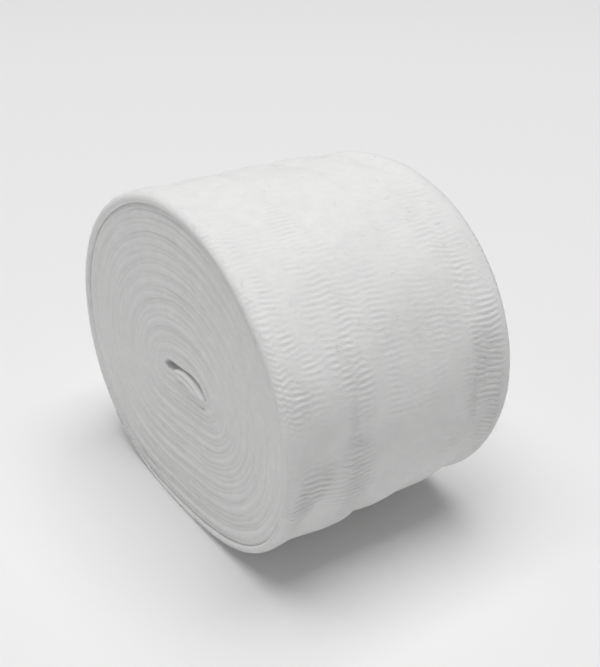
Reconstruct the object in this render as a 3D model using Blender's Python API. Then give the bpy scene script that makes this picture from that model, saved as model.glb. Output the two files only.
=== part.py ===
"""Gauze bandage roll: one strip of soft crepe gauze, wound on its own folded start.

The roll lies on its side. Its axis runs along X, the end that shows its turns best faces -X, and it rests
on a small flat spot at z = 0. The strip's path is a spiral: each point of it has a step number, one turn
is a fixed number of steps, and each turn lies one spacing outside the turn before it. The turns start on
a flat fold, so they are wider than they are tall, and the roll has sagged a little under its own weight.
"""

from math import cos, exp, floor, pi, sin, sqrt

import bmesh
import bpy

# Driving dimensions, in metres
STRIP_WIDTH = 0.075
MEAN_RADIUS = 0.0558
AXIS_HEIGHT = 0.0472

# How the outline departs from a circle at each end, as shares of the mean radius
OUTLINE = {
    "near": {"wide": 0.117, "lean": -0.019, "side": 0.003, "peak": -0.025},
    "far": {"wide": 0.098, "lean": -0.051, "side": 0.003, "peak": -0.020},
}

# The spiral: steps in one turn, steps in the whole strip, and the step that its start lies on
TURN_STEPS = 64
STRIP_STEPS = 800
START_STEP = 25
START_SHARE = 0.042

# Each turn climbs to the next one partly evenly and partly just before the strip's end
EVEN_CLIMB = 0.45
CLIMB_WIDTH = 0.24

# The strip's end is pressed flat, and its last turn is the loosest away from that end
END_THICKNESS = 0.0009
SETTLING = 0.25
FLATTENING = 0.18
LOOSENESS = 0.026

# The folded start in the middle of the roll
FOLD_HALF_LENGTH = 0.0100
FOLD_PLACE_Y = -0.0080
FOLD_PLACE_Z = -0.0005
FOLD_ARCH = 0.0022
SLIT_DEPTH = 0.0065
SLIT_FLOOR = 0.0045
TONGUE_PROUD = 0.0008

# The slit's rim lies midway between the fold and the first turn, and the far end's slit is half as deep
SLIT_RIM_SHARE = START_SHARE / 2
FAR_SLIT_SHARE = 0.5

# How the slit gives way to the tongue round the rim: its middle level and its steepness
SLIT_CHANGE = {"level": 0.5, "steepness": 0.9}

# The turns' edges at each end of the roll
GROOVE_DEPTH = 0.0015
LIP_PROUD = 0.0014
FAR_ROUNDING = 0.0090

# How far the edges stand in and out of the end's plane: height, waves in each turn, and share of the phase
EDGE_WAVES = (
    {"height": 0.0005, "waves": 2.4, "phases": 1},
    {"height": 0.0003, "waves": 7.1, "phases": 2},
)
EDGE_PHASE = {"near": 0.7, "far": 2.9}

# Where the outermost edge lies: behind its end plane, and inside the outline
NEAR_EDGE = {"back": 0.0020, "inset": 0.0004}
FAR_EDGE = {"back": 0.0048, "inset": 0.0013}

# Rows along the body, between the two edges
BODY_ROWS = 14
BODY_START = 0.0040
BODY_END = 0.0660
SHOULDER = {"place": 0.0685, "inset": 0.0004}

# Soft troughs that run round the body: place from the near end, half width, depth and sway
TROUGHS = (
    {"place": 0.0120, "width": 0.0050, "depth": 0.0005, "sway": 0.0015, "phase": 0.6},
    {"place": 0.0290, "width": 0.0042, "depth": 0.0008, "sway": 0.0020, "phase": 2.1},
    {"place": 0.0465, "width": 0.0040, "depth": 0.0007, "sway": 0.0018, "phase": 3.9},
    {"place": 0.0620, "width": 0.0045, "depth": 0.0009, "sway": 0.0012, "phase": 5.2},
)

# How much of a trough's depth stays the same round the body, and how much comes and goes
TROUGH_STRENGTH = {"mean": 0.65, "swing": 0.35}

# Broad soft waves of the cloth around and along the body
WAVES = (
    {"height": 0.00030, "around": 5, "along": 55.0, "phase": 0.4},
    {"height": 0.00022, "around": 9, "along": -90.0, "phase": 1.9},
    {"height": 0.00016, "around": 14, "along": 130.0, "phase": 4.0},
)

GAUZE_COLOR = (0.86, 0.86, 0.85, 1.0)
GAUZE_ROUGHNESS = 0.95

STEP_ANGLE = 2 * pi / TURN_STEPS
END_SHARE = 1 - END_THICKNESS / MEAN_RADIUS


def clear_scene():
    """Remove the objects of the scene that the script starts in."""
    for found in list(bpy.data.objects):
        bpy.data.objects.remove(found, do_unlink=True)


def ease(value):
    """Go smoothly from 0 to 1 as the value does."""
    value = min(max(value, 0.0), 1.0)
    return value * value * (3 - 2 * value)


def angle_of(step):
    """Angle of a step about the axis: 0 is +Y and a quarter turn is up."""
    return STEP_ANGLE * (START_STEP + step)


def outline_radius(angle, along):
    """Radius of the roll's outline, along going from 0 at the near end to 1 at the far end."""
    radius = 1.0
    for name, turns, wave in (("wide", 2, cos), ("lean", 2, sin), ("side", 3, cos), ("peak", 3, sin)):
        near = OUTLINE["near"][name]
        radius += (near + (OUTLINE["far"][name] - near) * along) * wave(turns * angle)
    return radius * MEAN_RADIUS


def relief(angle, place):
    """Height of the body's soft troughs and waves at a place measured from the near end."""
    height = 0.0
    for trough in TROUGHS:
        centre = trough["place"] + trough["sway"] * sin(2 * angle + trough["phase"])
        strength = TROUGH_STRENGTH["mean"] + TROUGH_STRENGTH["swing"] * sin(angle + 2 * trough["phase"])
        height -= trough["depth"] * strength * exp(-((place - centre) / trough["width"]) ** 2)
    for wave in WAVES:
        height += wave["height"] * sin(wave["around"] * angle + wave["along"] * place + wave["phase"])
    fade = ease(place / BODY_START) * ease((STRIP_WIDTH - place) / FAR_ROUNDING)
    return height * fade


def climbed(step):
    """Turns that the spiral has climbed by a step, counted back from the strip's end."""
    turns = (step - STRIP_STEPS) / TURN_STEPS
    whole = floor(turns)
    sudden = whole + ease((turns - whole - 1 + CLIMB_WIDTH) / CLIMB_WIDTH)
    return EVEN_CLIMB * turns + (1 - EVEN_CLIMB) * sudden


SPACING = (END_SHARE - START_SHARE) / -climbed(0)


def past_end(step):
    """Go from 0 at the strip's end to 1 where the turn below has risen to the outline."""
    return ease((step - STRIP_STEPS) / (SETTLING * TURN_STEPS))


def strip_share(step):
    """How far out the strip's inner side lies at a step: 0 on the fold, 1 on the outline.

    The path carried on for one more turn is the outer side of the last turn, and follows the outline.
    """
    if step > STRIP_STEPS:
        return END_SHARE + (1 - END_SHARE) * past_end(step)
    share = END_SHARE + SPACING * climbed(step)
    slack = 0.5 - 0.5 * cos(angle_of(step) - angle_of(STRIP_STEPS))
    return share - LOOSENESS * slack * share * share


def point(step, share, place, lift=0.0):
    """A point of the roll, from its share of the way out and its place from the near end."""
    angle = angle_of(step)
    across = cos(angle)
    fold_y = FOLD_PLACE_Y + FOLD_HALF_LENGTH * across
    fold_z = FOLD_PLACE_Z + FOLD_ARCH * (1 - across * across)
    radius = outline_radius(angle, place / STRIP_WIDTH) + lift
    y = fold_y + (radius * cos(angle) - fold_y) * share
    z = fold_z + (radius * sin(angle) - fold_z) * share
    return (place - STRIP_WIDTH / 2, y, max(z + AXIS_HEIGHT, 0.0))


def unevenness(step, end):
    """How far a turn's edge stands in or out of the end's plane at a step."""
    turn = step / TURN_STEPS
    phase = EDGE_PHASE[end]
    return sum(wave["height"] * sin(wave["waves"] * turn + wave["phases"] * phase) for wave in EDGE_WAVES)


def far_drop(share):
    """How far the far end has sunk from its plane towards the rim."""
    inwards = FAR_ROUNDING - (1 - share) * MEAN_RADIUS
    if inwards <= 0:
        return 0.0
    inwards = min(inwards, FAR_ROUNDING)
    return FAR_ROUNDING - sqrt(FAR_ROUNDING ** 2 - inwards ** 2)


def groove_point(step, end):
    """A point on the strip's inner edge, in the groove between two turns or on the outermost edge."""
    share = strip_share(step)
    outermost = past_end(step)
    edge = NEAR_EDGE if end == "near" else FAR_EDGE
    share -= outermost * edge["inset"] / MEAN_RADIUS
    if end == "near":
        back = GROOVE_DEPTH + unevenness(step, end)
        place = back + (edge["back"] - back) * outermost
    else:
        back = GROOVE_DEPTH + unevenness(step, end) + far_drop(share)
        place = STRIP_WIDTH - back - (edge["back"] - back) * outermost
    return point(step, share, place)


def crest_point(step, end):
    """A point on the rounded edge of a turn, midway between its two sides."""
    outer = strip_share(step + TURN_STEPS)
    share = (strip_share(step) + outer) / 2
    if end == "near":
        pressed = ease((STRIP_STEPS - step) / (FLATTENING * TURN_STEPS))
        last_turn = past_end(step + TURN_STEPS) * pressed
        place = unevenness(step, end) * (1 - last_turn) - LIP_PROUD * last_turn
    else:
        place = STRIP_WIDTH - far_drop(share) - unevenness(step, end)
    return point(step, share, place)


def slit_point(step, end):
    """A point on the ring inside the first turn: the slit above, the fold's tongue below."""
    upper = ease(SLIT_CHANGE["level"] + SLIT_CHANGE["steepness"] * sin(angle_of(step)))
    depth = SLIT_DEPTH * upper - TONGUE_PROUD * (1 - upper)
    if end == "near":
        return point(step, SLIT_RIM_SHARE, depth)
    return point(step, SLIT_RIM_SHARE, STRIP_WIDTH - FAR_SLIT_SHARE * depth)


def fold_point(step, end):
    """A point on the fold's own line, on the slit's floor."""
    if end == "near":
        return point(step, 0.0, SLIT_FLOOR)
    return point(step, 0.0, STRIP_WIDTH - FAR_SLIT_SHARE * SLIT_FLOOR)


def body_point(step, row):
    """A point on the outside of the last turn."""
    if row < BODY_ROWS:
        place = BODY_START + (BODY_END - BODY_START) * row / (BODY_ROWS - 1)
        inset = 0.0
    else:
        place = SHOULDER["place"]
        inset = SHOULDER["inset"]
    return point(step, strip_share(step), place, relief(angle_of(step), place) - inset)


def build_end(mesh, end):
    """Add one end of the roll, and return its grooves and crests by step."""
    grooves = [mesh.verts.new(groove_point(step, end)) for step in range(STRIP_STEPS + TURN_STEPS + 1)]
    crests = [mesh.verts.new(crest_point(step, end)) for step in range(STRIP_STEPS + 1)]
    for step in range(STRIP_STEPS):
        outer = step + TURN_STEPS
        mesh.faces.new((grooves[step], grooves[step + 1], crests[step + 1], crests[step]))
        mesh.faces.new((crests[step], crests[step + 1], grooves[outer + 1], grooves[outer]))
    build_fold(mesh, end, grooves, crests)
    return grooves, crests


def build_fold(mesh, end, grooves, crests):
    """Fill the middle of one end: the slit, the tongue and the strip's cut start."""
    ring = [mesh.verts.new(slit_point(step, end)) for step in range(TURN_STEPS)]
    half = TURN_STEPS // 2
    line = [mesh.verts.new(fold_point(across - START_STEP, end)) for across in range(half + 1)]

    def on_line(step):
        across = (START_STEP + step) % TURN_STEPS
        return line[min(across, TURN_STEPS - across)]

    for step in range(TURN_STEPS):
        following = (step + 1) % TURN_STEPS
        mesh.faces.new((ring[step], ring[following], grooves[step + 1], grooves[step]))
        mesh.faces.new((on_line(step), on_line(step + 1), ring[following], ring[step]))
    mesh.faces.new((ring[0], grooves[0], crests[0]))
    mesh.faces.new((ring[0], crests[0], grooves[TURN_STEPS]))


def build_body(mesh, near, far):
    """Add the outside of the last turn and the step where the strip ends."""
    rows = []
    for row in range(BODY_ROWS + 1):
        steps = range(STRIP_STEPS, STRIP_STEPS + TURN_STEPS + 1)
        rows.append([mesh.verts.new(body_point(step, row)) for step in steps])
    rows.insert(0, near[0][STRIP_STEPS:])
    rows.append(far[0][STRIP_STEPS:])
    for row, following in zip(rows, rows[1:]):
        for step in range(TURN_STEPS):
            mesh.faces.new((row[step], row[step + 1], following[step + 1], following[step]))
        mesh.faces.new((row[0], following[0], following[-1], row[-1]))
    for grooves, crests in (near, far):
        mesh.faces.new((grooves[STRIP_STEPS], crests[STRIP_STEPS], grooves[-1]))


def centre_over_base(mesh):
    """Move the roll sideways so that the middle of its box is over the origin."""
    for axis in (0, 1):
        places = [vert.co[axis] for vert in mesh.verts]
        middle = (min(places) + max(places)) / 2
        for vert in mesh.verts:
            vert.co[axis] -= middle


def gauze_material():
    """White cotton gauze, soft and without shine."""
    material = bpy.data.materials.new("white_gauze")
    material.use_nodes = True
    shader = material.node_tree.nodes["Principled BSDF"]
    shader.inputs["Base Color"].default_value = GAUZE_COLOR
    shader.inputs["Roughness"].default_value = GAUZE_ROUGHNESS
    shader.inputs["Metallic"].default_value = 0.0
    return material


def build_roll(collection):
    """The whole bandage, one closed solid of its wound form."""
    mesh = bmesh.new()
    near = build_end(mesh, "near")
    far = build_end(mesh, "far")
    build_body(mesh, near, far)
    centre_over_base(mesh)
    bmesh.ops.recalc_face_normals(mesh, faces=mesh.faces)
    bmesh.ops.triangulate(mesh, faces=mesh.faces)
    data = bpy.data.meshes.new("gauze_roll")
    mesh.to_mesh(data)
    mesh.free()
    data.shade_smooth()
    data.materials.append(gauze_material())
    roll = bpy.data.objects.new("gauze_roll", data)
    collection.objects.link(roll)
    return roll


def main():
    clear_scene()
    collection = bpy.data.collections.new("gauze_bandage_roll")
    bpy.context.scene.collection.children.link(collection)
    build_roll(collection)


main()
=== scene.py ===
"""Gauze bandage roll, dressed: its wound plies, crinkled last turn, folded start and loose fibres.

The roll lies along X, with the end that shows its turns best facing -X. The strip's path is a spiral. It
is measured in turns, from 0 at the strip's start to STRIP_TURNS at its end. The inner turns are wound as
separate plies, so their edges show on both ends of the roll as they do on real gauze. The last turn is
one soft layer, which carries the crinkles. One Geometry Nodes tree sweeps all of them along their paths.
"""

from math import cos, pi, radians, sin

import bmesh
import bpy
import numpy as np
from bpy.props import FloatProperty, FloatVectorProperty, IntProperty, PointerProperty
from mathutils import Matrix, Vector


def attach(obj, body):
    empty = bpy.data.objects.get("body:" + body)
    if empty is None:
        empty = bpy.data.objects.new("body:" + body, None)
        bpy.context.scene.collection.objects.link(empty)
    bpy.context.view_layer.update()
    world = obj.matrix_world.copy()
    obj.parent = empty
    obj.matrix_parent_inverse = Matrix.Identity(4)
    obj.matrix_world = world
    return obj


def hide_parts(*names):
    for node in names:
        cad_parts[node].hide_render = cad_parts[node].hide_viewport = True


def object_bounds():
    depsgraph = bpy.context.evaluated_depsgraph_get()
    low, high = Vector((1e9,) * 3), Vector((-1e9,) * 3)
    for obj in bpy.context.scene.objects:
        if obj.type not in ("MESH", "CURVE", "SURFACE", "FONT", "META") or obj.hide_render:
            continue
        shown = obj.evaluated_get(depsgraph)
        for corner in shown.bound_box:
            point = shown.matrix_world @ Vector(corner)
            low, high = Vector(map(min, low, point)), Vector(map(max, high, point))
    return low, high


bl_info = {
    "name": "Gauze bandage roll",
    "version": (1, 0, 0),
    "blender": (4, 5, 0),
    "location": "3D View > Sidebar > Bandage",
    "description": "Builds a soft roll of crinkled gauze bandage around its packed frame",
    "category": "Add Mesh",
}

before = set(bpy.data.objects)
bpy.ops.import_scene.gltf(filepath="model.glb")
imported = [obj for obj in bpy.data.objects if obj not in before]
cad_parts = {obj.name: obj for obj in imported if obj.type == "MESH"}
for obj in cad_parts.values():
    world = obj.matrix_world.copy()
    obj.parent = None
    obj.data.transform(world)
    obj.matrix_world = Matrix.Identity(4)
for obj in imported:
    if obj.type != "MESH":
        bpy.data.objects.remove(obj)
CAD_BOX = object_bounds()

# The roll, in metres. Its looseness, lip, slit and troughs differ from the part's own source
STRIP_WIDTH = 0.075
MEAN_RADIUS = 0.0558
AXIS_HEIGHT = 0.0472
OUTLINE = {
    "near": {"wide": 0.117, "lean": -0.019, "side": 0.003, "peak": -0.025},
    "far": {"wide": 0.098, "lean": -0.051, "side": 0.003, "peak": -0.020},
}
STRIP_TURNS = 12.5
START_TURN = 0.390625
START_SHARE = 0.042
EVEN_CLIMB = 0.45
CLIMB_WIDTH = 0.24
END_THICKNESS = 0.0009
SETTLING = 0.25
FLATTENING = 0.18
LOOSENESS = -0.025
FOLD_HALF_LENGTH = 0.0100
FOLD_PLACE_Y = -0.0080
FOLD_PLACE_Z = -0.0005
FOLD_ARCH = 0.0022
LIP_PROUD = 0.0014
LIP_HEIGHT = 0.0006
FAR_ROUNDING = 0.0090
FIRST_LAP_START = -0.97
SLIT_BELOW = 0.044
SLIT_ABOVE = 0.014
SLIT_MOUTH = 0.033
SLIT_MOUTH_ANGLE = 0.5
SLIT_MOUTH_SPREAD = 0.10
SLIT_CHANGE = {"level": 0.5, "steepness": 0.9}
FIRST_LAP_CLOSING = 0.18
TROUGHS = (
    {"place": 0.0120, "width": 0.0045, "depth": 0.0007, "sway": 0.0015, "phase": 0.6},
    {"place": 0.0290, "width": 0.0036, "depth": 0.0011, "sway": 0.0020, "phase": 2.1},
    {"place": 0.0465, "width": 0.0034, "depth": 0.0010, "sway": 0.0018, "phase": 3.9},
    {"place": 0.0620, "width": 0.0038, "depth": 0.0012, "sway": 0.0012, "phase": 5.2},
)
WAVES = (
    {"height": 0.00030, "around": 5, "along": 55.0, "phase": 0.4},
    {"height": 0.00022, "around": 9, "along": -90.0, "phase": 1.9},
    {"height": 0.00016, "around": 14, "along": 130.0, "phase": 4.0},
)
TROUGH_STRENGTH = {"middle": 0.65, "change": 0.35}
NEAR_FADE = 0.004
END_SHARE = 1 - END_THICKNESS / MEAN_RADIUS

# Stretch of the body that is searched for its outermost place towards -Y
BODY_SPAN = (0.004, 0.066)

# Points along the strip from which its length is summed
FINE_POINTS = 40000

# The strip's cut end is worn thin and pressed into the turn below
END_THINNING = 0.80
END_TUCK = 0.45
END_THINNING_TURNS = 0.14
END_CORNER = 0.0075

# Where the last turn starts, tucked under its own end
TUCK_TURNS = 0.09
LAST_TURN_START = STRIP_TURNS - 1 - TUCK_TURNS

# The plies of the inner turns: how far they overlap, wander and step back, and their rounded edges
PLY_OVERLAP = 0.15
LAST_PLY_REACH = 1.04
FACE_WANDER = {"height": 0.08, "length": 0.019, "phase": 1.7}
EDGE_WANDER = {"height": 0.00024, "length": 0.034, "phase": 0.7}
EDGE_NIBBLE = {"height": 0.00010, "length": 0.011, "phase": 2.3}
PLY_STEP_BACK = 0.00018
PLY_RIM = 0.00100
RIM_GIRTH = 0.0012
PLY_CRINKLES = {"Crinkle Height": 0.00004, "Crumple Height": 0.00012}

# Cross section of the last turn: the rounding of its near lip, its thickness and its far shoulder
LIP_INNER = 0.0009
LIP_OUTER = 0.0028
TURN_THICKNESS = 0.0036
SHOULDER_ANGLE = radians(51)
LIP_SQUARENESS = 0.15
LIP_SINK = 0.0001
TURN_CLEARANCE = 0.02
OUTSIDE_SHARE = 0.02
UNDERSIDE = {"start": 0.97, "length": 0.92, "girth": 0.012, "girth_step": 0.01}
FUZZ = {"lip_reach": 0.03, "lip": 1.0, "body": 0.16}

# The folded start: its thickness and edges, and how its two layers lie in the slit
FOLD_STEP = 0.00025
FOLD_HALF_THICKNESS = 0.00058
FOLD_RIM = 0.0005
FOLD_PROUD = 0.0009
FOLD_FAR_SINK = 0.002
FOLD_WANDER = {"height": 0.0004, "length": 0.006, "phase": 0.4}
FOLD_SPAN = (0.50, -1.02)
FOLD_DIP = {"depth": 0.0004, "place": 0.45, "width": 0.30, "below": 0.3}
FOLD_UPPER = 0.00042
FOLD_LOWER = 0.00160
FOLD_CRINKLES = {"Crinkle Height": 0.00005, "Crumple Height": 0.00010}

# Share of the outline's radius where the troughs and waves begin, and the width of their fade
BODY_FADE = {"start": 0.90, "width": 0.07}

# Where each piece lies in the crinkle pattern, so that no two pieces repeat it
PATTERN_PLACES = {"plies": 7.3, "last_turn": 31.0, "folded_start": 53.0}

# Bands round the body where the crinkles show most: middle, half width and strength
CRINKLE_BANDS = (
    {"place": 0.008, "width": 0.0070, "strength": 1.00},
    {"place": 0.022, "width": 0.0050, "strength": 0.85},
    {"place": 0.033, "width": 0.0035, "strength": 0.25},
    {"place": 0.047, "width": 0.0040, "strength": 0.20},
    {"place": 0.063, "width": 0.0085, "strength": 1.00},
)
CRINKLE_BASE = 0.18

# The crinkles are deeper under the roll's belly than on its top
RIPPLE_MIDDLE = 1.85
RIPPLE_CHANGE = 0.85

# How the ridges bend along the strip, and the patches of the strip in which they show
RIDGE_BEND = {"along": 55.0, "strength": 3.0}
PATCHES = {"along": 45.0, "across": 110.0, "low": 0.36, "high": 0.60, "least": 0.15}

# One loose fibre of length 1, and the spread of sizes and leans among the fibres
FIBRE_MIDDLE = (0.22, 0.0, 0.55)
FIBRE_TIP = (0.62, 0.2, 0.72)
FIBRE_SPREAD = {"Min": 0.35, "Max": 1.25}
FIBRE_LEAN = ((0.2, 0.2, 0.0), (1.35, 1.35, 2 * pi))
END_FIBRE_SHARE = 0.35

# The look of the cloth close up: the scale of each pattern and how high it stands
YARN_WOBBLE = {"scale": 700.0, "strength": 2.4}
WEAVE_HEIGHT = 0.55
FLUFF = {"scale": 2600.0, "height": 0.9}
DIMPLES = {"scale": 520.0, "height": 1.8}
BUMP_STRENGTH = 0.55
TONE = {"scale": 240.0, "low": 0.35, "high": 0.65}
FIBRE_TONE_SCALE = 900.0

# The body is drawn in behind the near lip, most of all low on the front
WAIST = {"place": 0.0085, "width": 0.0042, "depth": 0.0013, "angle": radians(238), "spread": 0.22}

# The camera stands where the photograph was taken from, measured from the middle of the roll's axis
CAMERA_PLACE = (-0.1469, -0.2311, 0.1408)
CAMERA_AZIMUTH = radians(33.51)
CAMERA_ELEVATION = radians(27.14)
CAMERA_LENS = 55.3

# The stage
FLOOR_HALF_WIDTH = 12.0
LIGHT_TARGET = (0, 0, 0.05)


class BandageSizes(bpy.types.PropertyGroup):
    """Sizes of the cloth."""

    plies: IntProperty(
        name="Plies", description="Layers of gauze in one turn of the strip", default=2, min=1, max=5
    )
    path_step: FloatProperty(
        name="Path step",
        description="Distance between points along the plies",
        default=0.00092,
        unit="LENGTH",
    )
    body_step: FloatProperty(
        name="Body step",
        description="Distance between points round the last turn",
        default=0.00041,
        unit="LENGTH",
    )
    crinkle_pitch: FloatProperty(
        name="Crinkle pitch",
        description="Distance between two ridges of the crepe",
        default=0.0016,
        unit="LENGTH",
    )
    crinkle_height: FloatProperty(
        name="Crinkle height",
        description="Height of the ridges of the crepe",
        default=0.00013,
        unit="LENGTH",
    )
    crinkle_length: FloatProperty(
        name="Crinkle length",
        description="Length of one ridge before it breaks",
        default=0.0025,
        unit="LENGTH",
    )
    crumple_height: FloatProperty(
        name="Crumple height",
        description="Height of the cloth's small lumps",
        default=0.00010,
        unit="LENGTH",
    )
    crumple_size: FloatProperty(
        name="Crumple size",
        description="Width of the cloth's small lumps",
        default=0.0016,
        unit="LENGTH",
    )


class FibreSizes(bpy.types.PropertyGroup):
    """Sizes of the loose cotton fibres."""

    length: FloatProperty(
        name="Fibre length",
        description="Length of a fibre",
        default=0.0019,
        unit="LENGTH",
    )
    radius: FloatProperty(
        name="Fibre radius",
        description="Radius of a fibre",
        default=0.00003,
        unit="LENGTH",
    )
    density: FloatProperty(
        name="Fibre density", description="Fibres on each square metre of bare cloth", default=260000.0
    )
    seed: IntProperty(name="Seed", description="Picks another scatter of fibres", default=3)


class ClothFinish(bpy.types.PropertyGroup):
    """Colours of the cloth."""

    light_color: FloatVectorProperty(
        name="Light cotton",
        description="Colour of the open cloth",
        size=4,
        subtype="COLOR",
        default=(0.875, 0.875, 0.868, 1.0),
    )
    dark_color: FloatVectorProperty(
        name="Dark cotton",
        description="Colour of the closer cloth",
        size=4,
        subtype="COLOR",
        default=(0.845, 0.846, 0.841, 1.0),
    )
    yarn_pitch: FloatProperty(
        name="Yarn pitch", description="Distance between two yarns", default=0.00085, unit="LENGTH"
    )
    yarn_depth: FloatProperty(
        name="Yarn depth", description="Depth of the weave's relief", default=0.00012, unit="LENGTH"
    )


class StageSetup(bpy.types.PropertyGroup):
    """The floor and the light."""

    floor_color: FloatVectorProperty(
        name="Floor",
        description="Colour of the floor",
        size=4,
        subtype="COLOR",
        default=(0.79, 0.79, 0.79, 1.0),
    )
    floor_glow: FloatProperty(
        name="Floor glow",
        description="Light that the floor gives by itself",
        default=0.06,
    )
    top_power: FloatProperty(
        name="Top light",
        description="Power of the soft light above",
        default=172.0,
    )
    side_power: FloatProperty(
        name="Side light",
        description="Power of the weak light beside the roll",
        default=3.1,
    )
    sky_strength: FloatProperty(
        name="Sky",
        description="Strength of the even light around",
        default=0.08,
    )


class NodeTree:
    """A node tree being built, with short ways to add the nodes used here."""

    def __init__(self, tree):
        self.tree = tree

    def add(self, kind, inputs=(), **settings):
        """Add a node, set its settings and fill its inputs by index or name."""
        node = self.tree.nodes.new(kind)
        for name, value in settings.items():
            setattr(node, name, value)
        for key, value in dict(inputs).items():
            self.fill(node.inputs[key], value)
        return node

    def fill(self, socket, value):
        """Link a socket to an output, or set it to a plain value."""
        if isinstance(value, bpy.types.NodeSocket):
            self.tree.links.new(value, socket)
        else:
            socket.default_value = value

    def math(self, operation, *values):
        """The result of a sum on numbers."""
        return self.add("ShaderNodeMath", enumerate(values), operation=operation).outputs[0]

    def vector_math(self, operation, *values):
        """The result of a sum on vectors."""
        node = self.add("ShaderNodeVectorMath", operation=operation)
        for socket, value in zip(node.inputs, values):
            self.fill(socket, value)
        return node.outputs[0]

    def scale(self, vector, amount):
        """A vector made longer or shorter."""
        node = self.add("ShaderNodeVectorMath", {"Vector": vector, "Scale": amount}, operation="SCALE")
        return node.outputs[0]

    def combine(self, x, y, z):
        """A vector of three numbers."""
        return self.add("ShaderNodeCombineXYZ", {0: x, 1: y, 2: z}).outputs[0]

    def blend_vectors(self, amount, first, second):
        """A vector between two others."""
        difference = self.vector_math("SUBTRACT", second, first)
        return self.vector_math("ADD", first, self.scale(difference, amount))

    def blend_colors(self, amount, first, second):
        """A colour between two others."""
        node = self.add("ShaderNodeMix", data_type="RGBA")
        self.fill(node.inputs[0], amount)
        self.fill(node.inputs[6], first)
        self.fill(node.inputs[7], second)
        return node.outputs[2]

    def noise(self, vector, scale=1.0, detail=1.0, roughness=0.5):
        """Smooth noise from 0 to 1."""
        inputs = {"Vector": vector, "Scale": scale, "Detail": detail, "Roughness": roughness}
        return self.add("ShaderNodeTexNoise", inputs).outputs[0]

    def remap(self, value, low, high, to_low, to_high):
        """A number moved from one range into another, smoothly and no further."""
        inputs = {0: value, 1: low, 2: high, 3: to_low, 4: to_high}
        return self.add("ShaderNodeMapRange", inputs, interpolation_type="SMOOTHSTEP").outputs[0]


class GeometryTree(NodeTree):
    """A Geometry Nodes tree with named inputs."""

    def __init__(self, name, sockets):
        super().__init__(bpy.data.node_groups.new(name, "GeometryNodeTree"))
        interface = self.tree.interface
        interface.new_socket(name="Geometry", in_out="INPUT", socket_type="NodeSocketGeometry")
        for socket_name, kind in sockets.items():
            interface.new_socket(name=socket_name, in_out="INPUT", socket_type=kind)
        interface.new_socket(name="Geometry", in_out="OUTPUT", socket_type="NodeSocketGeometry")
        self.group = self.tree.nodes.new("NodeGroupInput").outputs

    def attribute(self, name, kind="FLOAT"):
        """A named attribute of the geometry."""
        return self.add("GeometryNodeInputNamedAttribute", {"Name": name}, data_type=kind).outputs[0]

    def end(self, geometry):
        """Realize, give the material, and end the tree."""
        real = self.add("GeometryNodeRealizeInstances", {"Geometry": geometry}).outputs[0]
        done = {"Geometry": real, "Material": self.group["Material"]}
        done = self.add("GeometryNodeSetMaterial", done).outputs[0]
        self.add("NodeGroupOutput", {"Geometry": done})
        return self.tree


def ease(value):
    """Go smoothly from 0 to 1 as the value does."""
    value = np.clip(value, 0.0, 1.0)
    return value * value * (3 - 2 * value)


def angle_of(turns):
    """Angle of a place on the strip about the axis: 0 is +Y and a quarter turn is up."""
    return 2 * pi * (START_TURN + turns)


def outline_radius(angle, along):
    """Radius of the roll's outline, along going from 0 at the near end to 1 at the far end."""
    radius = 1.0
    waves = (("wide", 2, np.cos), ("lean", 2, np.sin), ("side", 3, np.cos), ("peak", 3, np.sin))
    for name, lobes, wave in waves:
        near = OUTLINE["near"][name]
        radius = radius + (near + (OUTLINE["far"][name] - near) * along) * wave(lobes * angle)
    return radius * MEAN_RADIUS


def relief(angle, place):
    """Height of the body's soft troughs and waves at a place measured from the near end."""
    height = 0.0 * angle
    for trough in TROUGHS:
        centre = trough["place"] + trough["sway"] * np.sin(2 * angle + trough["phase"])
        change = TROUGH_STRENGTH["change"] * np.sin(angle + 2 * trough["phase"])
        strength = TROUGH_STRENGTH["middle"] + change
        section = np.exp(-((place - centre) / trough["width"]) ** 2)
        height = height - trough["depth"] * strength * section
    for wave in WAVES:
        phase = wave["around"] * angle + wave["along"] * place + wave["phase"]
        height = height + wave["height"] * np.sin(phase)
    return height * ease(place / NEAR_FADE) * ease((STRIP_WIDTH - place) / FAR_ROUNDING)


def climbed(turns):
    """Turns that the spiral has climbed at a place, counted back from the strip's end."""
    left = turns - STRIP_TURNS
    whole = np.floor(left)
    sudden = whole + ease((left - whole - 1 + CLIMB_WIDTH) / CLIMB_WIDTH)
    return EVEN_CLIMB * left + (1 - EVEN_CLIMB) * sudden


SPACING = (END_SHARE - START_SHARE) / -float(climbed(0.0))


def past_end(turns):
    """Go from 0 at the strip's end to 1 where the turn below has risen to the outline."""
    return ease((turns - STRIP_TURNS) / SETTLING)


def first_lap_share(turns):
    """How far the first, looser lap stays clear of the fold, to leave a slit open above it."""
    angle = angle_of(turns)
    upper = ease(SLIT_CHANGE["level"] + SLIT_CHANGE["steepness"] * np.sin(angle))
    mouth = np.exp(-(1 - np.cos(angle - SLIT_MOUTH_ANGLE)) / SLIT_MOUTH_SPREAD)
    share = SLIT_BELOW + (SLIT_ABOVE - SLIT_BELOW) * upper + SLIT_MOUTH * mouth
    closing = ease((turns + FIRST_LAP_CLOSING) / FIRST_LAP_CLOSING)
    return share + (START_SHARE - share) * closing


def strip_share(turns):
    """How far out the strip's inner side lies: 0 on the fold, 1 on the outline."""
    share = END_SHARE + SPACING * climbed(turns)
    slack = 0.5 - 0.5 * np.cos(angle_of(turns) - angle_of(STRIP_TURNS))
    inside = share - LOOSENESS * slack * share * share
    inside = np.where(turns < 0, first_lap_share(turns), inside)
    outside = END_SHARE + (1 - END_SHARE) * past_end(turns)
    return np.where(turns > STRIP_TURNS, outside, inside)


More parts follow.
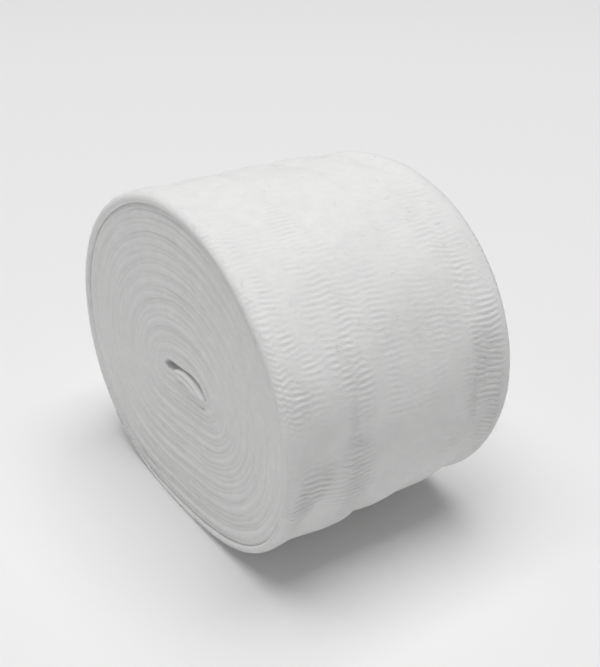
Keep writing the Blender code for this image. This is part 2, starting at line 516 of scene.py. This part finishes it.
def section_point(turns, share, along):
    """Sideways place and height of a point on the strip, measured from the roll's axis."""
    angle = angle_of(turns)
    across = np.cos(angle)
    fold_y = FOLD_PLACE_Y + FOLD_HALF_LENGTH * across
    fold_z = FOLD_PLACE_Z + FOLD_ARCH * (1 - across * across)
    radius = outline_radius(angle, along)
    y = fold_y + (radius * np.cos(angle) - fold_y) * share
    z = fold_z + (radius * np.sin(angle) - fold_z) * share
    return y, z


def far_drop(share):
    """How far the far end has sunk from its plane towards the rim."""
    inwards = np.clip(FAR_ROUNDING - (1 - share) * MEAN_RADIUS, 0.0, FAR_ROUNDING)
    return FAR_ROUNDING - np.sqrt(FAR_ROUNDING ** 2 - inwards ** 2)


def wander(run, size, phase):
    """A slow uneven wave from about -1 to 1 along a path, from sines that never fall in step."""
    reach = run / size
    slow = 0.5 * np.sin(reach + phase)
    middle = 0.3 * np.sin(2.3 * reach + 2.1 * phase)
    quick = 0.2 * np.sin(5.1 * reach - phase)
    return slow + middle + quick


def wander_as(run, wave, phase):
    """The wave of one kind of unevenness along a path."""
    return wave["height"] * wander(run, wave["length"], phase)


def roll_shift():
    """Sideways move of the whole roll that puts the middle of its box over the origin."""
    around = np.linspace(STRIP_TURNS, STRIP_TURNS + 1, 65)
    turns, place = np.meshgrid(around, np.linspace(*BODY_SPAN, 14))
    angle = angle_of(turns)
    along = place / STRIP_WIDTH
    y = section_point(turns, strip_share(turns), along)[0] + relief(angle, place) * np.cos(angle)
    return CAD_BOX[0].x + STRIP_WIDTH / 2 + LIP_PROUD, CAD_BOX[0].y - float(y.min())


SHIFT_X, SHIFT_Y = roll_shift()


def in_place(x, y, z):
    """Points of the scene from places measured from the near end plane and the roll's axis."""
    return np.stack([x - STRIP_WIDTH / 2 + SHIFT_X, y + SHIFT_Y, z + AXIS_HEIGHT], axis=-1)


def run_along(across, up):
    """Distance run at each point of a line."""
    steps = np.hypot(np.diff(across), np.diff(up))
    return np.concatenate([[0.0], np.cumsum(steps)])


def even_turns(start, end, spacing):
    """Places along the strip a given distance apart."""
    fine = np.linspace(start, end, FINE_POINTS)
    y, z = section_point(fine, (strip_share(fine) + strip_share(fine + 1)) / 2, 0.5)
    run = run_along(y, z)
    even = np.linspace(0.0, run[-1], int(run[-1] / spacing) + 1)
    return np.interp(even, run, fine), even


def strip_layer(turns, low, high, near_edge, far_edge):
    """A layer of the strip between two shares of its thickness: inner side and reach, both ends."""
    layer = {}
    for end, along, edge in (("near", 0.0, near_edge), ("far", 1.0, far_edge)):
        inner = np.stack(section_point(turns, strip_share(turns), along), axis=-1)
        outer = np.stack(section_point(turns, strip_share(turns + 1), along), axis=-1)
        reach = outer - inner
        bottom = inner + reach * low[:, None]
        top = inner + reach * high[:, None]
        start = in_place(edge, bottom[:, 0], bottom[:, 1])
        layer[end + "_inner"] = start
        layer[end + "_reach"] = in_place(edge, top[:, 0], top[:, 1]) - start
    return layer


def path_object(name, paths):
    """A mesh of open lines with the named values that the sweep reads at each of their points."""
    mesh = bpy.data.meshes.new(name)
    points = np.concatenate([path["near_inner"] for path in paths])
    edges = []
    first = 0
    for path in paths:
        count = len(path["near_inner"])
        edges += [(place, place + 1) for place in range(first, first + count - 1)]
        first += count
    mesh.from_pydata(points.tolist(), edges, [])
    for key in paths[0]:
        values = np.concatenate([path[key] for path in paths])
        if values.ndim == 2:
            attribute = mesh.attributes.new(key, "FLOAT_VECTOR", "POINT")
            attribute.data.foreach_set("vector", values.ravel())
        else:
            attribute = mesh.attributes.new(key, "FLOAT", "POINT")
            attribute.data.foreach_set("value", values)
    return add_object(name, mesh)


def profile_object(name, rows):
    """A closed line with the named values of a layer's cross section, one row for each point."""
    mesh = bpy.data.meshes.new(name)
    count = len(rows)
    points = [(cos(2 * pi * row / count), sin(2 * pi * row / count), 0.0) for row in range(count)]
    mesh.from_pydata(points, [(row, (row + 1) % count) for row in range(count)], [])
    for key in rows[0]:
        values = [row[key] for row in rows]
        mesh.attributes.new(key, "FLOAT", "POINT").data.foreach_set("value", values)
    return add_object(name, mesh)


def add_object(name, data):
    """Put new data in the scene under its own name."""
    made = bpy.data.objects.new(name, data)
    bpy.context.scene.collection.objects.link(made)
    return made


def sweep_tree():
    """Geometry Nodes that sweep a layer's cross section along its path and crinkle the cloth."""
    sockets = {
        "Profile": "NodeSocketObject",
        "Crinkle Pitch": "NodeSocketFloat",
        "Crinkle Height": "NodeSocketFloat",
        "Crinkle Length": "NodeSocketFloat",
        "Crumple Height": "NodeSocketFloat",
        "Crumple Size": "NodeSocketFloat",
        "Material": "NodeSocketMaterial",
    }
    tree = GeometryTree("wound_cloth", sockets)
    path = tree.add("GeometryNodeMeshToCurve", {"Mesh": tree.group["Geometry"]}).outputs[0]
    section = tree.add("GeometryNodeObjectInfo", {"Object": tree.group["Profile"]}).outputs["Geometry"]
    section = tree.add("GeometryNodeMeshToCurve", {"Mesh": section}).outputs[0]
    sweep = {"Curve": path, "Profile Curve": section, "Fill Caps": True}
    cloth = tree.add("GeometryNodeCurveToMesh", sweep).outputs[0]

    side = tree.attribute("side")
    ends = []
    for end in ("near", "far"):
        inner = tree.attribute(end + "_inner", "FLOAT_VECTOR")
        reach = tree.attribute(end + "_reach", "FLOAT_VECTOR")
        ends.append(tree.vector_math("ADD", inner, tree.scale(reach, side)))
    square = tree.attribute("square")
    rounded = tree.math("SUBTRACT", tree.attribute("across"), square)
    across = tree.math("ADD", square, tree.math("MULTIPLY", rounded, tree.attribute("rounding")))
    place = tree.blend_vectors(across, *ends)
    cloth = tree.add("GeometryNodeSetPosition", {"Geometry": cloth, "Position": place}).outputs[0]

    height = crinkle_nodes(tree)
    normal = tree.add("GeometryNodeInputNormal").outputs[0]
    raised = {"Geometry": cloth, "Offset": tree.scale(normal, height)}
    cloth = tree.add("GeometryNodeSetPosition", raised).outputs[0]

    pattern = tree.combine(tree.attribute("run"), tree.attribute("girth"), 0.0)
    stored = {"Geometry": cloth, "Name": "UVMap", "Value": pattern}
    stored = tree.add("GeometryNodeStoreNamedAttribute", stored, data_type="FLOAT2", domain="CORNER")
    smooth = tree.add("GeometryNodeSetShadeSmooth", {"Geometry": stored.outputs[0]}).outputs[0]
    return tree.end(smooth)


def crinkle_nodes(tree):
    """Height of the cloth's ridges and lumps, measured along its path and across its width."""
    run, girth = tree.attribute("run"), tree.attribute("girth")
    layer = tree.attribute("layer")
    length = tree.group["Crinkle Length"]
    along = tree.math("MULTIPLY", run, RIDGE_BEND["along"])
    stretched = tree.combine(along, tree.math("DIVIDE", girth, length), layer)
    bend = tree.noise(stretched, detail=1.0)
    phase = tree.math("DIVIDE", run, tree.group["Crinkle Pitch"])
    phase = tree.math("ADD", phase, tree.math("MULTIPLY", bend, RIDGE_BEND["strength"]))
    ridge = tree.math("SINE", tree.math("MULTIPLY", phase, 2 * pi))
    along = tree.math("MULTIPLY", run, PATCHES["along"])
    spread = tree.combine(along, tree.math("MULTIPLY", girth, PATCHES["across"]), layer)
    spread = tree.noise(spread, detail=2.0)
    patch = tree.remap(spread, PATCHES["low"], PATCHES["high"], PATCHES["least"], 1.0)
    strength = tree.math("MULTIPLY", patch, tree.attribute("crinkle"))
    strength = tree.math("MULTIPLY", strength, tree.attribute("ripple"))
    ridges = tree.math("MULTIPLY", ridge, strength)
    ridges = tree.math("MULTIPLY", ridges, tree.group["Crinkle Height"])

    size = tree.group["Crumple Size"]
    lumps = tree.combine(tree.math("DIVIDE", run, size), tree.math("DIVIDE", girth, size), layer)
    lump = tree.math("SUBTRACT", tree.noise(lumps, detail=2.0, roughness=0.6), 0.5)
    lump = tree.math("MULTIPLY", tree.math("MULTIPLY", lump, 2.0), tree.group["Crumple Height"])
    return tree.math("MULTIPLY", tree.math("ADD", ridges, lump), tree.attribute("show"))


def fibre_tree():
    """Geometry Nodes that scatter loose fibres over the cloth, most of them along its edges."""
    sockets = {
        "Cloth": "NodeSocketObject",
        "Length": "NodeSocketFloat",
        "Radius": "NodeSocketFloat",
        "Density": "NodeSocketFloat",
        "Seed": "NodeSocketInt",
        "Material": "NodeSocketMaterial",
    }
    tree = GeometryTree("loose_fibres", sockets)
    cloth = tree.add("GeometryNodeObjectInfo", {"Object": tree.group["Cloth"]}).outputs["Geometry"]
    density = tree.math("MULTIPLY", tree.attribute("fuzz"), tree.group["Density"])
    scatter = {"Mesh": cloth, "Density": density, "Seed": tree.group["Seed"]}
    scatter = tree.add("GeometryNodeDistributePointsOnFaces", scatter, distribute_method="RANDOM")

    length = tree.group["Length"]
    middle = tree.combine(*[tree.math("MULTIPLY", length, share) for share in FIBRE_MIDDLE])
    tip = tree.combine(*[tree.math("MULTIPLY", length, share) for share in FIBRE_TIP])
    bow = {"Resolution": 4, "Start": (0.0, 0.0, 0.0), "Middle": middle, "End": tip}
    bow = tree.add("GeometryNodeCurveQuadraticBezier", bow).outputs[0]
    ring = {"Resolution": 3, "Radius": tree.group["Radius"]}
    ring = tree.add("GeometryNodeCurvePrimitiveCircle", ring).outputs[0]
    fibre = {"Curve": bow, "Profile Curve": ring, "Fill Caps": True}
    fibre = tree.add("GeometryNodeCurveToMesh", fibre).outputs[0]

    spread = {"Seed": tree.group["Seed"], **FIBRE_SPREAD}
    size = tree.add("FunctionNodeRandomValue", spread, data_type="FLOAT")
    placed = {
        "Points": scatter.outputs["Points"],
        "Instance": fibre,
        "Rotation": scatter.outputs["Rotation"],
        "Scale": [socket for socket in size.outputs if socket.enabled][0],
    }
    placed = tree.add("GeometryNodeInstanceOnPoints", placed).outputs[0]
    lean = tree.add("FunctionNodeRandomValue", data_type="FLOAT_VECTOR")
    for number, limit in enumerate(FIBRE_LEAN):
        tree.fill(lean.inputs[number], limit)
    turned = {"Instances": placed, "Rotation": lean.outputs[0]}
    return tree.end(tree.add("GeometryNodeRotateInstances", turned).outputs[0])


def run_tree(made, tree, values):
    """Run a Geometry Nodes tree on an object, and leave its result as a plain mesh."""
    modifier = made.modifiers.new(tree.name, "NODES")
    modifier.node_group = tree
    for item in tree.interface.items_tree:
        if item.item_type == "SOCKET" and item.in_out == "INPUT" and item.name in values:
            modifier[item.identifier] = values[item.name]
    graph = bpy.context.evaluated_depsgraph_get()
    mesh = bpy.data.meshes.new_from_object(made.evaluated_get(graph), depsgraph=graph)
    made.modifiers.clear()
    made.data = mesh
    mesh.name = made.name
    return made


def mesh_points(mesh):
    """Places of a mesh's vertices."""
    points = np.empty(len(mesh.vertices) * 3)
    mesh.vertices.foreach_get("co", points)
    return points.reshape(-1, 3)


def finish_cloth(made):
    """Rest the cloth on the floor, and turn all its faces outwards."""
    mesh = made.data
    points = mesh_points(mesh)
    points[:, 2] = np.maximum(points[:, 2], 0.0)
    mesh.vertices.foreach_set("co", points.ravel())
    shell = bmesh.new()
    shell.from_mesh(mesh)
    if shell.calc_volume(signed=True) < 0:
        bmesh.ops.reverse_faces(shell, faces=shell.faces)
    shell.to_mesh(mesh)
    shell.free()
    mesh.update()


def ply_profile(rim):
    """Cross section of one ply: a rounded edge at each end of the roll and nothing but flat between."""
    rows = []
    bends = [-1.0, -0.62, -0.3, 0.0, 0.3, 0.62, 1.0]
    for end, order in ((0.0, 1), (1.0, -1)):
        for bend in bends:
            beta = bend * order * pi / 2
            back = rim * (1 - cos(beta))
            across = back if end == 0.0 else 1.0 - back
            rows.append(
                {
                    "across": across,
                    "square": across,
                    "side": 0.5 + 0.5 * sin(beta),
                    "girth": STRIP_WIDTH * end + RIM_GIRTH * bend,
                    "crinkle": 1.0,
                    "show": 1.0,
                    "fuzz": 1.0 if abs(bend) < 1.0 else 0.0,
                }
            )
    return rows


def band_strength(place):
    """How strongly the crinkles show at a place measured from the near end."""
    strength = CRINKLE_BASE
    for band in CRINKLE_BANDS:
        strength += band["strength"] * float(np.exp(-((place - band["place"]) / band["width"]) ** 2))
    return min(strength, 1.0)


def last_turn_profile():
    """Cross section of the last turn: a soft near lip, the body, and the soft far shoulder."""
    rows = []

    def add(across, side, girth):
        rows.append({"across": across, "side": side, "girth": girth})

    lip_side = LIP_INNER / TURN_THICKNESS
    lip_steps, body_steps, shoulder_steps, under_steps = 14, 62, 11, 5
    for step in range(4):
        beta = -pi / 2 + pi / 2 * step / 4
        add(LIP_INNER * (1 - cos(beta)) / STRIP_WIDTH, lip_side * (1 + sin(beta)), LIP_INNER * beta)
    for step in range(lip_steps + 1):
        beta = pi / 2 * step / lip_steps
        side = lip_side + (1 - lip_side) * sin(beta)
        add(LIP_OUTER * (1 - cos(beta)) / STRIP_WIDTH, side, LIP_OUTER * beta)
    girth = rows[-1]["girth"]
    length = STRIP_WIDTH - FAR_ROUNDING - LIP_OUTER
    for step in range(1, body_steps):
        place = LIP_OUTER + length * step / body_steps
        add(place / STRIP_WIDTH, 1.0, girth + place - LIP_OUTER)
    girth = rows[-1]["girth"]
    for step in range(shoulder_steps + 1):
        gamma = SHOULDER_ANGLE * step / shoulder_steps
        back = FAR_ROUNDING * (1 - sin(gamma))
        side = 1 - FAR_ROUNDING * (1 - cos(gamma)) / TURN_THICKNESS
        add(1 - back / STRIP_WIDTH, max(side, 0.0), girth + FAR_ROUNDING * gamma)
    for step in range(1, under_steps):
        across = UNDERSIDE["start"] - UNDERSIDE["length"] * step / under_steps
        add(across, 0.0, girth + UNDERSIDE["girth"] + UNDERSIDE["girth_step"] * step)
    for row in rows:
        place = row["across"] * STRIP_WIDTH
        outside = row["side"] > OUTSIDE_SHARE
        fuzz = FUZZ["lip"] if row["across"] < FUZZ["lip_reach"] else FUZZ["body"]
        row["crinkle"] = band_strength(place)
        row["square"] = row["across"] * (LIP_SQUARENESS if place < LIP_OUTER else 1.0)
        row["show"] = 1.0 if outside else 0.0
        row["fuzz"] = fuzz if outside else 0.0
    return rows


class BANDAGE_OT_wound_plies(bpy.types.Operator):
    """Wind the inner turns of the strip, ply by ply"""

    bl_idname = "bandage.wound_plies"
    bl_label = "Wound plies"

    def execute(self, context):
        sizes = context.scene.bandage_sizes
        turns, run = even_turns(FIRST_LAP_START, LAST_TURN_START, sizes.path_step)
        paths = []
        for ply in range(sizes.plies):
            paths.append(ply_path(turns, run, ply, sizes.plies))
        plies = path_object("wound_plies", paths)
        profile = profile_object("ply_profile", ply_profile(PLY_RIM / STRIP_WIDTH))
        wound = sweep(context, plies, profile, PLY_CRINKLES)
        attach(wound, "root")
        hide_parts("gauze_roll")
        return {"FINISHED"}


def ply_path(turns, run, ply, plies):
    """One ply of the inner turns, with its own uneven edges."""
    below = wander_as(run, FACE_WANDER, FACE_WANDER["phase"] * ply)
    above = wander_as(run, FACE_WANDER, FACE_WANDER["phase"] * (ply + 1))
    low = ply / plies + below - PLY_OVERLAP
    high = (ply + 1) / plies + above + PLY_OVERLAP
    low = np.where(turns < 0, np.maximum(low, 0.0), low)
    high = np.where(turns > LAST_TURN_START - 1, np.minimum(high, LAST_PLY_REACH), high)
    uneven = wander_as(run, EDGE_WANDER, EDGE_WANDER["phase"])
    uneven = uneven + wander_as(run, EDGE_NIBBLE, EDGE_NIBBLE["phase"] * ply)
    near_edge = uneven + PLY_STEP_BACK * ply
    share = (strip_share(turns) + strip_share(turns + 1)) / 2
    far_edge = STRIP_WIDTH - far_drop(share) - uneven - PLY_STEP_BACK * ply
    layer = strip_layer(turns, low, high, near_edge, far_edge)
    layer["run"] = run
    layer["rounding"] = np.ones_like(run)
    layer["ripple"] = np.ones_like(run)
    layer["layer"] = np.full_like(run, PATTERN_PLACES["plies"] * ply)
    return layer


def sweep(context, path, profile, changes):
    """Sweep a cross section along its paths with the cloth's own crinkles."""
    sizes = context.scene.bandage_sizes
    values = {
        "Profile": profile,
        "Crinkle Pitch": sizes.crinkle_pitch,
        "Crinkle Height": sizes.crinkle_height,
        "Crinkle Length": sizes.crinkle_length,
        "Crumple Height": sizes.crumple_height,
        "Crumple Size": sizes.crumple_size,
        "Material": gauze_material(context),
    }
    values.update(changes)
    tree = bpy.data.node_groups.get("wound_cloth") or sweep_tree()
    made = run_tree(path, tree, values)
    finish_cloth(made)
    bpy.data.objects.remove(profile)
    return made


class BANDAGE_OT_last_turn(bpy.types.Operator):
    """Wind the crinkled last turn of the strip"""

    bl_idname = "bandage.last_turn"
    bl_label = "Last turn"

    def execute(self, context):
        sizes = context.scene.bandage_sizes
        turns, run = even_turns(LAST_TURN_START, STRIP_TURNS, sizes.body_step)
        pressed = ease((STRIP_TURNS - turns) / FLATTENING)
        proud = past_end(turns + 1) * pressed
        near_edge = LIP_SINK - (LIP_HEIGHT + LIP_SINK) * proud
        worn = ease(1 - (STRIP_TURNS - turns) / END_THINNING_TURNS)
        far_edge = STRIP_WIDTH - END_CORNER * worn
        thin = 1 - END_THINNING * worn
        low = TURN_CLEARANCE - END_TUCK * worn
        path = strip_layer(turns, low, thin, near_edge, far_edge)
        path["run"] = run
        path["rounding"] = proud
        path["ripple"] = RIPPLE_MIDDLE - RIPPLE_CHANGE * np.sin(angle_of(turns))
        path["layer"] = np.full_like(run, PATTERN_PLACES["last_turn"])
        turn = path_object("last_turn", [path])
        profile = profile_object("last_turn_profile", last_turn_profile())
        made = sweep(context, turn, profile, {})
        shape_body(made)
        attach(made, "root")
        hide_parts("gauze_roll")
        return {"FINISHED"}


def shape_body(made):
    """Raise the body's soft troughs and waves on the last turn."""
    mesh = made.data
    points = mesh_points(mesh)
    y = points[:, 1] - SHIFT_Y
    z = points[:, 2] - AXIS_HEIGHT
    angle = np.arctan2(z, y)
    place = np.clip(points[:, 0] - SHIFT_X + STRIP_WIDTH / 2, 0.0, STRIP_WIDTH)
    outer = outline_radius(angle, place / STRIP_WIDTH)
    reach = ease((np.hypot(y, z) / outer - BODY_FADE["start"]) / BODY_FADE["width"])
    waist = np.exp(-((place - WAIST["place"]) / WAIST["width"]) ** 2)
    waist *= np.exp(-(1 - np.cos(angle - WAIST["angle"])) / WAIST["spread"])
    lift = (relief(angle, place) - WAIST["depth"] * waist) * reach
    points[:, 1] += lift * np.cos(angle)
    points[:, 2] = np.maximum(points[:, 2] + lift * np.sin(angle), 0.0)
    mesh.vertices.foreach_set("co", points.ravel())
    mesh.update()


class BANDAGE_OT_folded_start(bpy.types.Operator):
    """Fold the strip's start into the slit in the middle of the roll"""

    bl_idname = "bandage.folded_start"
    bl_label = "Folded start"

    def execute(self, context):
        line = fold_line(FOLD_STEP)
        run = run_along(*line.T)
        tangent = np.gradient(line, axis=0)
        tangent /= np.hypot(*tangent.T)[:, None]
        across = np.stack([-tangent[:, 1], tangent[:, 0]], axis=-1)
        low = line - across * FOLD_HALF_THICKNESS
        high = line + across * FOLD_HALF_THICKNESS
        edge = wander_as(run, FOLD_WANDER, FOLD_WANDER["phase"]) - FOLD_PROUD
        path = {}
        for end, place in (("near", edge), ("far", STRIP_WIDTH - FOLD_FAR_SINK - edge)):
            path[end + "_inner"] = in_place(place, low[:, 0], low[:, 1])
            path[end + "_reach"] = in_place(place, high[:, 0], high[:, 1]) - path[end + "_inner"]
        path["run"] = run
        path["rounding"] = np.ones_like(run)
        path["ripple"] = np.ones_like(run)
        path["layer"] = np.full_like(run, PATTERN_PLACES["folded_start"])
        start = path_object("folded_start", [path])
        profile = profile_object("fold_profile", ply_profile(FOLD_RIM / STRIP_WIDTH))
        made = sweep(context, start, profile, FOLD_CRINKLES)
        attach(made, "root")
        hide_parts("gauze_roll")
        return {"FINISHED"}


def fold_line(spacing):
    """Middle line of the folded start: out along the slit's floor, round, and back underneath."""
    across = np.linspace(*FOLD_SPAN, 60)
    dip = -FOLD_DIP["depth"] * np.exp(-((across - FOLD_DIP["place"]) / FOLD_DIP["width"]) ** 2)
    y = FOLD_PLACE_Y + FOLD_HALF_LENGTH * across
    z = FOLD_PLACE_Z + FOLD_ARCH * (1 - across * across)
    upper = np.stack([y, z - FOLD_UPPER + dip], axis=-1)
    lower = np.stack([y, z - FOLD_LOWER + FOLD_DIP["below"] * dip], axis=-1)[::-1]
    middle = (upper[-1] + lower[0]) / 2
    radius = (upper[-1, 1] - lower[0, 1]) / 2
    bends = np.linspace(pi / 2, 3 * pi / 2, 9)[1:-1]
    bend = middle + radius * np.stack([np.cos(bends), np.sin(bends)], axis=-1)
    line = np.concatenate([upper, bend, lower])
    run = run_along(*line.T)
    even = np.linspace(0.0, run[-1], int(run[-1] / spacing) + 1)
    return np.stack([np.interp(even, run, line[:, 0]), np.interp(even, run, line[:, 1])], axis=-1)


class BANDAGE_OT_loose_fibres(bpy.types.Operator):
    """Scatter loose cotton fibres over the cloth"""

    bl_idname = "bandage.loose_fibres"
    bl_label = "Loose fibres"

    def execute(self, context):
        sizes = context.scene.fibre_sizes
        tree = fibre_tree()
        scatters = (
            ("body_fibres", "last_turn", 1.0),
            ("end_fibres", "wound_plies", END_FIBRE_SHARE),
        )
        for name, source, share in scatters:
            made = add_object(name, bpy.data.meshes.new(name))
            values = {
                "Cloth": bpy.data.objects[source],
                "Length": sizes.length,
                "Radius": sizes.radius,
                "Density": sizes.density * share,
                "Seed": sizes.seed,
                "Material": fibre_material(context),
            }
            run_tree(made, tree, values)
            finish_cloth(made)
            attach(made, "root")
        return {"FINISHED"}


def gauze_material(context):
    """White cotton gauze: woven yarns, faint uneven tone, dull and soft."""
    made = bpy.data.materials.get("white_gauze")
    if made:
        return made
    finish = context.scene.cloth_finish
    made = bpy.data.materials.new("white_gauze")
    made.use_nodes = True
    shader = made.node_tree.nodes["Principled BSDF"]
    tree = NodeTree(made.node_tree)
    pattern = tree.add("ShaderNodeUVMap", uv_map="UVMap").outputs[0]
    place = tree.add("ShaderNodeTexCoord").outputs["Object"]

    split = tree.add("ShaderNodeSeparateXYZ", {0: pattern}).outputs
    wobble = tree.noise(place, YARN_WOBBLE["scale"], 2.0)
    wobble = tree.math("MULTIPLY", wobble, YARN_WOBBLE["strength"])
    yarns = []
    for number in (0, 1):
        turns = tree.math("MULTIPLY", split[number], 2 * pi / finish.yarn_pitch)
        yarns.append(tree.math("ABSOLUTE", tree.math("SINE", tree.math("ADD", turns, wobble))))
    weave = tree.math("MAXIMUM", *yarns)
    fluff = tree.noise(place, FLUFF["scale"], 3.0, 0.65)
    dimples = tree.noise(place, DIMPLES["scale"], 2.0)
    surface = tree.math("MULTIPLY", weave, WEAVE_HEIGHT)
    surface = tree.math("ADD", surface, tree.math("MULTIPLY", fluff, FLUFF["height"]))
    surface = tree.math("ADD", surface, tree.math("MULTIPLY", dimples, DIMPLES["height"]))
    bump = {"Height": surface, "Strength": BUMP_STRENGTH, "Distance": finish.yarn_depth}
    tree.fill(shader.inputs["Normal"], tree.add("ShaderNodeBump", bump).outputs[0])

    tone = tree.noise(place, TONE["scale"], 4.0, 0.6)
    tone = tree.remap(tone, TONE["low"], TONE["high"], 0.0, 1.0)
    color = tree.blend_colors(tone, finish.dark_color, finish.light_color)
    tree.fill(shader.inputs["Base Color"], color)
    tree.fill(shader.inputs["Roughness"], tree.remap(fluff, 0.3, 0.7, 0.86, 1.0))
    shader.inputs["Specular IOR Level"].default_value = 0.2
    shader.inputs["Sheen Weight"].default_value = 0.2
    shader.inputs["Sheen Roughness"].default_value = 0.6
    return made


def fibre_material(context):
    """Loose cotton fibres, a little lighter than the cloth."""
    made = bpy.data.materials.get("cotton_fibre")
    if made:
        return made
    finish = context.scene.cloth_finish
    made = bpy.data.materials.new("cotton_fibre")
    made.use_nodes = True
    shader = made.node_tree.nodes["Principled BSDF"]
    tree = NodeTree(made.node_tree)
    place = tree.add("ShaderNodeTexCoord").outputs["Object"]
    tone = tree.noise(place, FIBRE_TONE_SCALE, 1.0)
    color = tree.blend_colors(tone, finish.dark_color, finish.light_color)
    tree.fill(shader.inputs["Base Color"], color)
    shader.inputs["Roughness"].default_value = 0.95
    shader.inputs["Specular IOR Level"].default_value = 0.1
    return made


class BANDAGE_OT_stage(bpy.types.Operator):
    """Lay the floor, hang the lights and stand the camera"""

    bl_idname = "bandage.stage"
    bl_label = "Stage"

    def execute(self, context):
        setup = context.scene.stage_setup
        lay_floor(setup)
        hang_lights(context, setup)
        stand_camera(context)
        context.scene.view_settings.view_transform = "Standard"
        return {"FINISHED"}


def lay_floor(setup):
    """A wide plain pale floor."""
    grid = bmesh.new()
    bmesh.ops.create_grid(grid, x_segments=8, y_segments=8, size=FLOOR_HALF_WIDTH)
    mesh = bpy.data.meshes.new("floor")
    grid.to_mesh(mesh)
    grid.free()
    floor = add_object("floor", mesh)
    material = bpy.data.materials.new("pale_floor")
    material.use_nodes = True
    shader = material.node_tree.nodes["Principled BSDF"]
    shader.inputs["Base Color"].default_value = setup.floor_color
    shader.inputs["Roughness"].default_value = 0.9
    shader.inputs["Specular IOR Level"].default_value = 0.1
    shader.inputs["Emission Color"].default_value = (1.0, 1.0, 1.0, 1.0)
    shader.inputs["Emission Strength"].default_value = setup.floor_glow
    mesh.materials.append(material)


def hang_lights(context, setup):
    """A wide soft light above the roll, a weak one beside its near end, and an even sky."""
    for name, place, size, power in (
        ("top_light", (0.0, 0.0, 4.0), 4.0, setup.top_power),
        ("side_light", (-1.8, 0.2, 1.4), 2.4, setup.side_power),
    ):
        light = bpy.data.lights.new(name, "AREA")
        light.shape = "RECTANGLE"
        light.size = size
        light.size_y = size * 5 / 6
        light.energy = power
        lamp = add_object(name, light)
        lamp.location = place
        aim = Vector(LIGHT_TARGET) - lamp.location
        lamp.rotation_euler = aim.to_track_quat("-Z", "Y").to_euler()
    world = bpy.data.worlds.new("even_sky")
    world.use_nodes = True
    sky = world.node_tree.nodes["Background"]
    sky.inputs["Color"].default_value = (1.0, 1.0, 1.0, 1.0)
    sky.inputs["Strength"].default_value = setup.sky_strength
    context.scene.world = world


def stand_camera(context):
    """The camera at the photograph's angle."""
    data = bpy.data.cameras.new("camera")
    data.lens = CAMERA_LENS
    data.sensor_width = 36.0
    camera = add_object("camera", data)
    forward = Vector((
        sin(CAMERA_AZIMUTH) * cos(CAMERA_ELEVATION),
        cos(CAMERA_AZIMUTH) * cos(CAMERA_ELEVATION),
        -sin(CAMERA_ELEVATION),
    ))
    right = Vector((cos(CAMERA_AZIMUTH), -sin(CAMERA_AZIMUTH), 0.0))
    up = right.cross(forward)
    turn = Matrix((right, up, -forward)).transposed().to_4x4()
    middle = Vector((SHIFT_X, SHIFT_Y, AXIS_HEIGHT))
    camera.matrix_world = Matrix.Translation(middle + Vector(CAMERA_PLACE)) @ turn
    context.scene.camera = camera


class BANDAGE_PT_panel(bpy.types.Panel):
    """Lists the steps that build the roll"""

    bl_idname = "BANDAGE_PT_panel"
    bl_label = "Gauze bandage roll"
    bl_space_type = "VIEW_3D"
    bl_region_type = "UI"
    bl_category = "Bandage"

    def draw(self, context):
        layout = self.layout
        for group in ("bandage_sizes", "fibre_sizes", "cloth_finish", "stage_setup"):
            settings = getattr(context.scene, group)
            box = layout.box()
            for name in settings.__annotations__:
                box.prop(settings, name)
        for step in STEPS:
            layout.operator(step)


STEPS = (
    "bandage.wound_plies",
    "bandage.last_turn",
    "bandage.folded_start",
    "bandage.loose_fibres",
    "bandage.stage",
)

CLASSES = (
    BandageSizes,
    FibreSizes,
    ClothFinish,
    StageSetup,
    BANDAGE_OT_wound_plies,
    BANDAGE_OT_last_turn,
    BANDAGE_OT_folded_start,
    BANDAGE_OT_loose_fibres,
    BANDAGE_OT_stage,
    BANDAGE_PT_panel,
)

GROUPS = {
    "bandage_sizes": BandageSizes,
    "fibre_sizes": FibreSizes,
    "cloth_finish": ClothFinish,
    "stage_setup": StageSetup,
}


def register():
    """Register the classes and give each group of settings its place on the scene."""
    for item in CLASSES:
        bpy.utils.register_class(item)
    for name, group in GROUPS.items():
        setattr(bpy.types.Scene, name, PointerProperty(type=group))


def unregister():
    """Take back what register has done."""
    for name in GROUPS:
        delattr(bpy.types.Scene, name)
    for item in reversed(CLASSES):
        bpy.utils.unregister_class(item)


def main():
    """Build the dressed roll and its stage."""
    register()
    bpy.ops.bandage.wound_plies()
    bpy.ops.bandage.last_turn()
    bpy.ops.bandage.folded_start()
    bpy.ops.bandage.loose_fibres()
    bpy.ops.bandage.stage()


if __name__ == "__main__":
    main()
